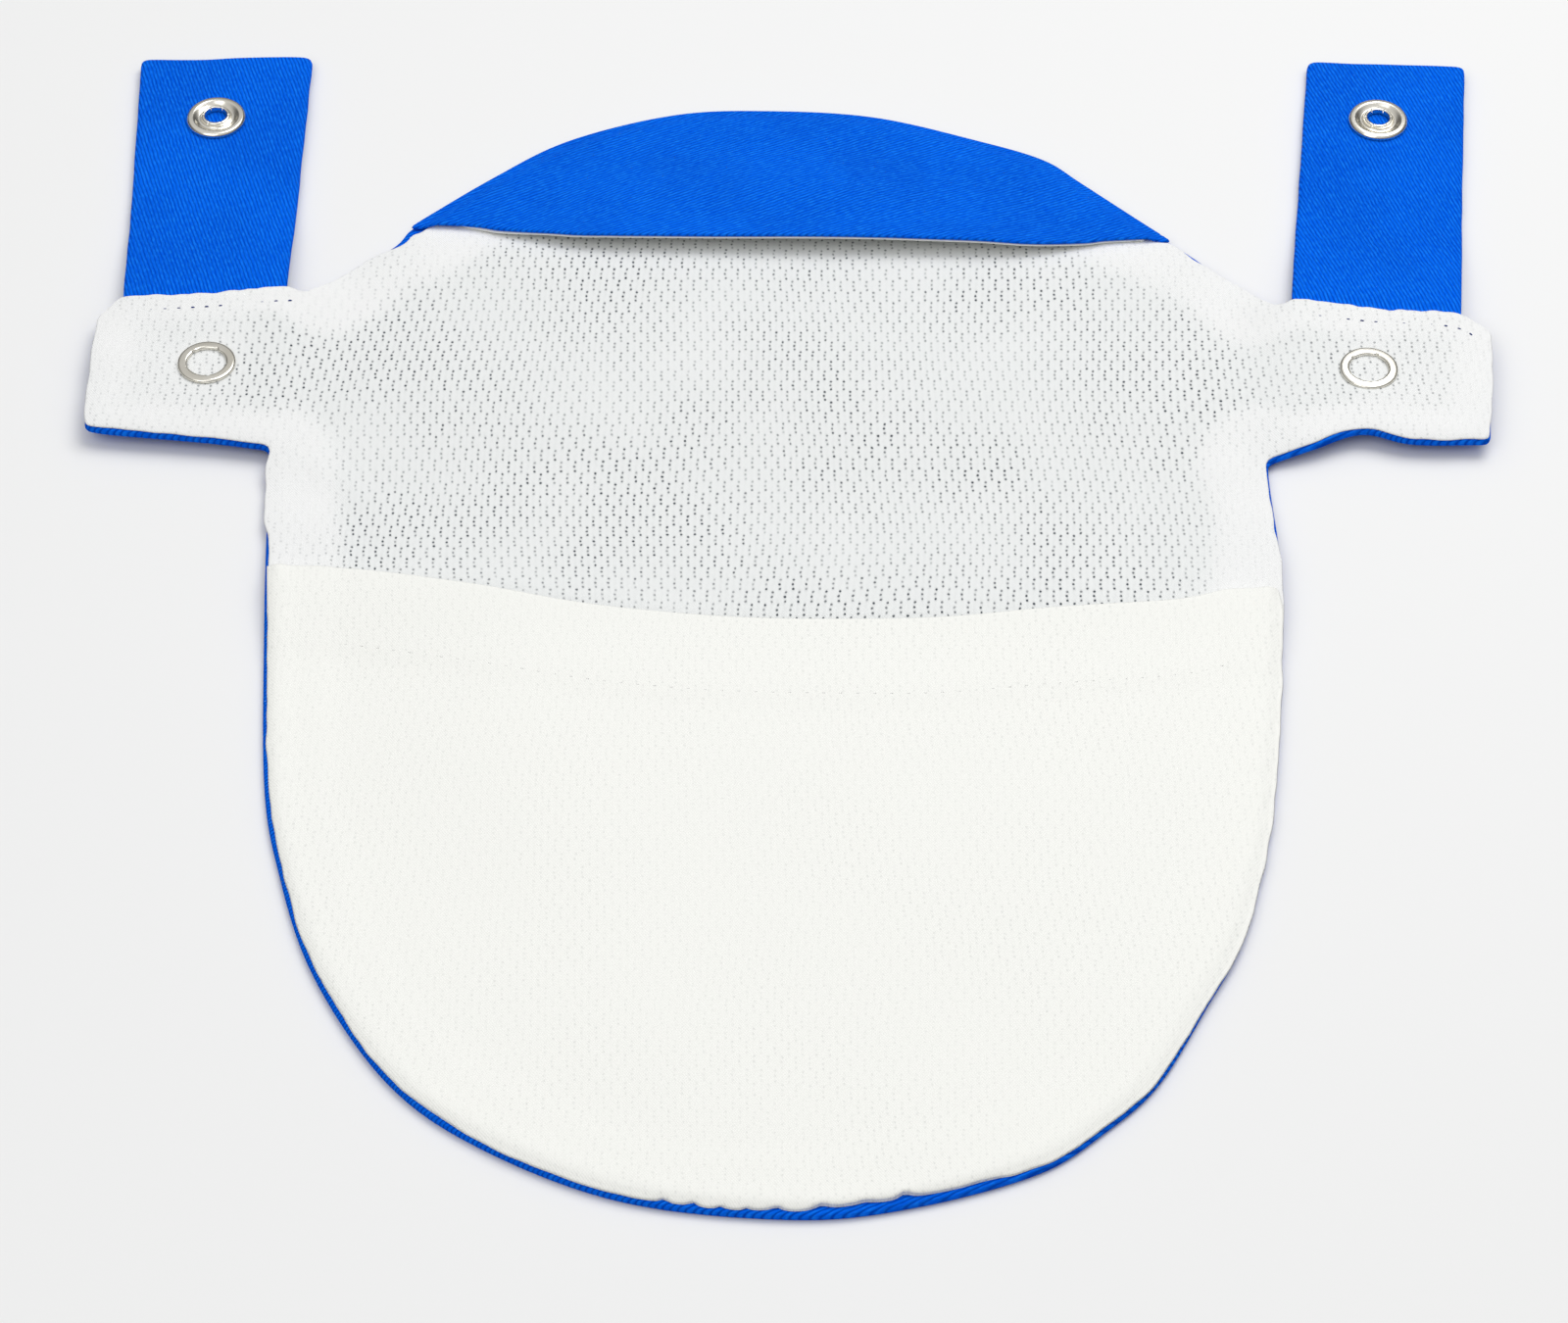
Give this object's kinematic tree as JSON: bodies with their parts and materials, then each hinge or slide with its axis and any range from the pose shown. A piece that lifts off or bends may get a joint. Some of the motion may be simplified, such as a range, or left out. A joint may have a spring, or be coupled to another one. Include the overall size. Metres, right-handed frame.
{
  "type": "groin protector pouch",
  "caption": "Flat cloth pouch for a groin protector insert: twill back with side tabs, mesh lining, mesh pocket, twill hood and folding straps with open-ring snaps.",
  "frame": {"origin": "middle of the pouch as it lies on its back, at the height of the surface that it lies on", "axes": "+Z out of the front (the mesh side), +Y from the pocket towards the hood and straps, +X towards the viewer's right when the hood is at the top"},
  "size_m": [0.2337, 0.2488, 0.0082],
  "materials": {
    "blue_twill": "woven cotton twill, matt",
    "white_mesh": "knitted birdseye mesh over blue cloth",
    "white_pocket_mesh": "doubled knitted mesh",
    "white_thread": "spun sewing thread",
    "blue_thread": "spun sewing thread",
    "nickel_snap": "nickel-plated brass, polished"
  },
  "bodies": {
    "pouch": {"outer_shell": "blue_twill", "mesh_lining": "white_mesh", "pocket_panel": "white_pocket_mesh", "hood_outer": "blue_twill", "hood_lining": "white_mesh", "perimeter_seam_thread": "white_thread", "pocket_hem_stitch": "white_thread", "left_tab_topstitch": "blue_thread", "right_tab_topstitch": "blue_thread", "left_tab_prong_ring": "nickel_snap", "right_tab_prong_ring": "nickel_snap", "left_tab_stud": "nickel_snap", "right_tab_stud": "nickel_snap"},
    "left_strap_body": {"left_strap": "blue_twill", "left_strap_socket": "nickel_snap", "left_strap_prong_ring": "nickel_snap"},
    "right_strap_body": {"right_strap": "blue_twill", "right_strap_socket": "nickel_snap", "right_strap_prong_ring": "nickel_snap"}
  },
  "joints": [
    {"name": "left_strap_fold", "type": "hinge", "parent": "pouch", "child": "left_strap_body", "pos_m": [-0.09952, 0.06474, 0.00305], "axis": [0.9958, 0.0919, 0], "range_deg": [-140, 140]},
    {"name": "right_strap_fold", "type": "hinge", "parent": "pouch", "child": "right_strap_body", "pos_m": [0.09607, 0.06128, 0.00305], "axis": [0.9918, -0.1275, 0], "range_deg": [-140, 140]}
  ]
}
